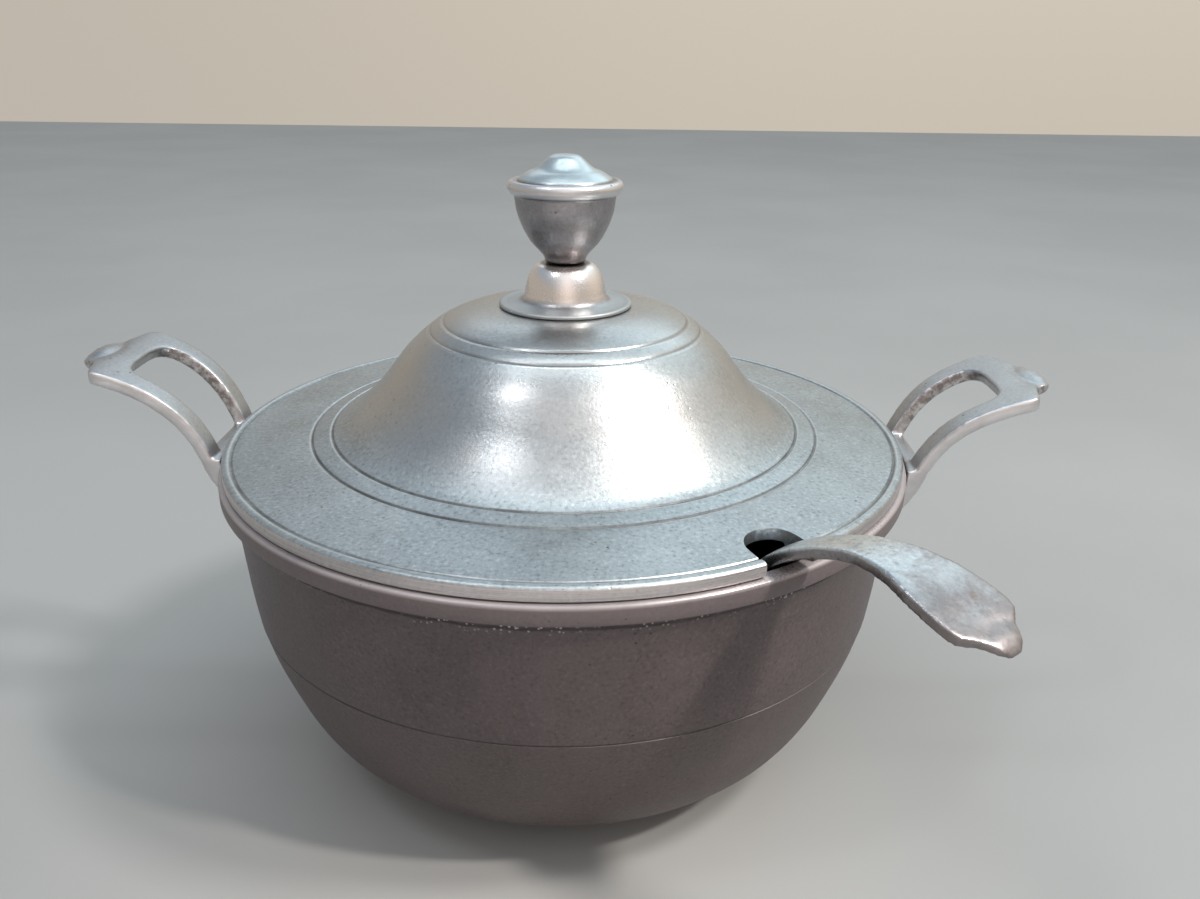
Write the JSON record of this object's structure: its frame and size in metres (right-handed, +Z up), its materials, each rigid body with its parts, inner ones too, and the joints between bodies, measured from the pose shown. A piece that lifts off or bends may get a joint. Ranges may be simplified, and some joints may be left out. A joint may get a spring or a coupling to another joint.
{
  "type": "soup kettle",
  "caption": "Round cast-metal soup kettle with pierced side handles, a domed lid with an urn finial and ladle notch, and a ladle resting over the rim.",
  "frame": {"origin": "centre of the bowl's flat base, on the surface it stands on", "axes": "+Z up along the bowl's axis, +X towards the right handle, -Y towards the side from which the ladle hangs at the right"},
  "size_m": [0.3572, 0.2827, 0.2271],
  "materials": {
    "bowl_metal": "sand-cast, tumbled, dull grey-brown with fine grain",
    "handle_metal": "sand-cast, blasted top faces with smooth bright edges",
    "lid_metal": "fine bead-blasted, satin",
    "finial_metal": "turned and hand-rubbed, semi-bright",
    "fastener_steel": "plain steel",
    "ladle_metal": "cast, rubbed and mottled with wear"
  },
  "bodies": {
    "kettle": {"bowl": "bowl_metal", "handle_right": "handle_metal", "handle_left": "handle_metal"},
    "lid": {"lid": "lid_metal", "finial_collar": "finial_metal", "finial_urn": "finial_metal", "finial_washer": "fastener_steel", "finial_screw": "fastener_steel"},
    "ladle": {"ladle": "ladle_metal"}
  },
  "joints": [
    {"name": "lid_lift", "type": "slide", "parent": "kettle", "child": "lid", "axis": [0, 0, 1], "range_m": [0, 0.16]},
    {"name": "ladle_tilt", "type": "hinge", "parent": "kettle", "child": "ladle", "pos_m": [0.0705, -0.0991, 0.1209], "axis": [0.7536, 0.6574, 0], "range_deg": [0, 14]}
  ]
}
